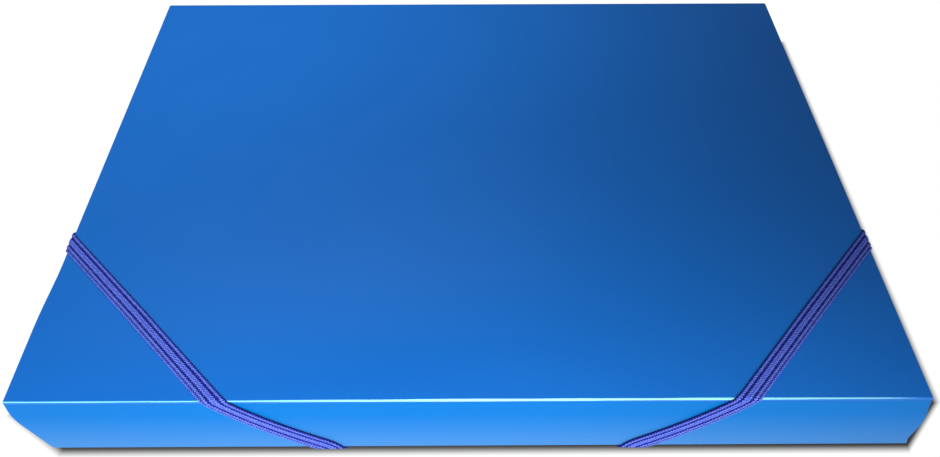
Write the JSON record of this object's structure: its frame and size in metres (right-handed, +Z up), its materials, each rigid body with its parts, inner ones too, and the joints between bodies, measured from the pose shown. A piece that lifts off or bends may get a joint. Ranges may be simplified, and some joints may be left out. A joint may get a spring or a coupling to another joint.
{
  "type": "archival box",
  "caption": "Flat A4 filing box of creased blue polypropylene sheet: a hinged lid with a front flap, inner dust flaps, and elastic bands over the front corners.",
  "frame": {"origin": "centre of the closed box's footprint, on the surface that it stands on", "axes": "+X to the right along the front crease, +Y towards the spine, +Z up"},
  "size_m": [0.3322, 0.2472, 0.0292],
  "materials": {
    "pp_sheet": "satin, very fine grain",
    "elastic": "ribbed knitted elastic",
    "clip_metal": "bright zinc plate",
    "rivet": "moulded, semi-gloss"
  },
  "bodies": {
    "tray": {"bottom_panel": "pp_sheet", "front_wall": "pp_sheet", "spine_panel": "pp_sheet", "left_wall": "pp_sheet", "right_wall": "pp_sheet", "left_front_tab": "pp_sheet", "right_front_tab": "pp_sheet", "left_rear_tab": "pp_sheet", "right_rear_tab": "pp_sheet", "lid_crease": "pp_sheet", "front_dust_flap_crease": "pp_sheet", "left_dust_flap_crease": "pp_sheet", "right_dust_flap_crease": "pp_sheet", "left_front_rivet_stud": "rivet", "left_front_rivet_cap": "rivet", "left_rear_rivet_stud": "rivet", "left_rear_rivet_cap": "rivet", "right_front_rivet_stud": "rivet", "right_front_rivet_cap": "rivet", "right_rear_rivet_stud": "rivet", "right_rear_rivet_cap": "rivet", "left_elastic_front_clip": "clip_metal", "left_elastic_side_clip": "clip_metal", "right_elastic_front_clip": "clip_metal", "right_elastic_side_clip": "clip_metal", "left_elastic_front_leg": "elastic", "left_elastic_side_leg": "elastic", "left_elastic_front_tail": "elastic", "left_elastic_side_tail": "elastic", "right_elastic_front_leg": "elastic", "right_elastic_side_leg": "elastic", "right_elastic_front_tail": "elastic", "right_elastic_side_tail": "elastic"},
    "lid": {"lid_panel": "pp_sheet", "front_flap_crease": "pp_sheet"},
    "front_flap": {"front_flap": "pp_sheet"},
    "front_dust_flap": {"front_dust_flap": "pp_sheet"},
    "left_dust_flap": {"left_dust_flap": "pp_sheet"},
    "right_dust_flap": {"right_dust_flap": "pp_sheet"},
    "left_elastic": {"left_elastic_strand": "elastic"},
    "right_elastic": {"right_elastic_strand": "elastic"}
  },
  "joints": [
    {"name": "lid_open", "type": "hinge", "parent": "tray", "child": "lid", "pos_m": [0, 0.12324, 0.0277], "axis": [-1, 0, 0], "range_deg": [0, 186], "deforming": ["lid_crease"]},
    {"name": "front_flap_fold", "type": "hinge", "parent": "lid", "child": "front_flap", "pos_m": [0, -0.11596, 0.0277], "axis": [-1, 0, 0], "range_deg": [0, 68], "deforming": ["front_flap_crease"]},
    {"name": "front_dust_flap_fold", "type": "hinge", "parent": "tray", "child": "front_dust_flap", "pos_m": [0, -0.11396, 0.0266], "axis": [1, 0, 0], "range_deg": [0, 93], "deforming": ["front_dust_flap_crease"]},
    {"name": "left_dust_flap_fold", "type": "hinge", "parent": "tray", "child": "left_dust_flap", "pos_m": [-0.1628, 0, 0.0266], "axis": [0, -1, 0], "range_deg": [0, 93], "deforming": ["left_dust_flap_crease"]},
    {"name": "right_dust_flap_fold", "type": "hinge", "parent": "tray", "child": "right_dust_flap", "pos_m": [0.1628, 0, 0.0266], "axis": [0, 1, 0], "range_deg": [0, 93], "deforming": ["right_dust_flap_crease"]},
    {"name": "left_elastic_release", "type": "slide", "parent": "tray", "child": "left_elastic", "axis": [0.1393, 0.1393, -0.9804], "range_m": [0, 0.0288], "deforming": ["left_elastic_strand", "left_elastic_front_leg", "left_elastic_side_leg"]},
    {"name": "right_elastic_release", "type": "slide", "parent": "tray", "child": "right_elastic", "axis": [-0.1393, 0.1393, -0.9804], "range_m": [0, 0.0288], "deforming": ["right_elastic_strand", "right_elastic_front_leg", "right_elastic_side_leg"]}
  ],
  "couplings": [
    {"joint": "front_flap_fold", "follows": "lid_open", "ratio": 0.362},
    {"joint": "front_dust_flap_fold", "follows": "lid_open", "ratio": 0.5},
    {"joint": "left_dust_flap_fold", "follows": "lid_open", "ratio": 0.5},
    {"joint": "right_dust_flap_fold", "follows": "lid_open", "ratio": 0.5},
    {"joint": "left_elastic_release", "follows": "lid_open", "m_per_rad": 0.00884},
    {"joint": "right_elastic_release", "follows": "lid_open", "m_per_rad": 0.00884}
  ]
}
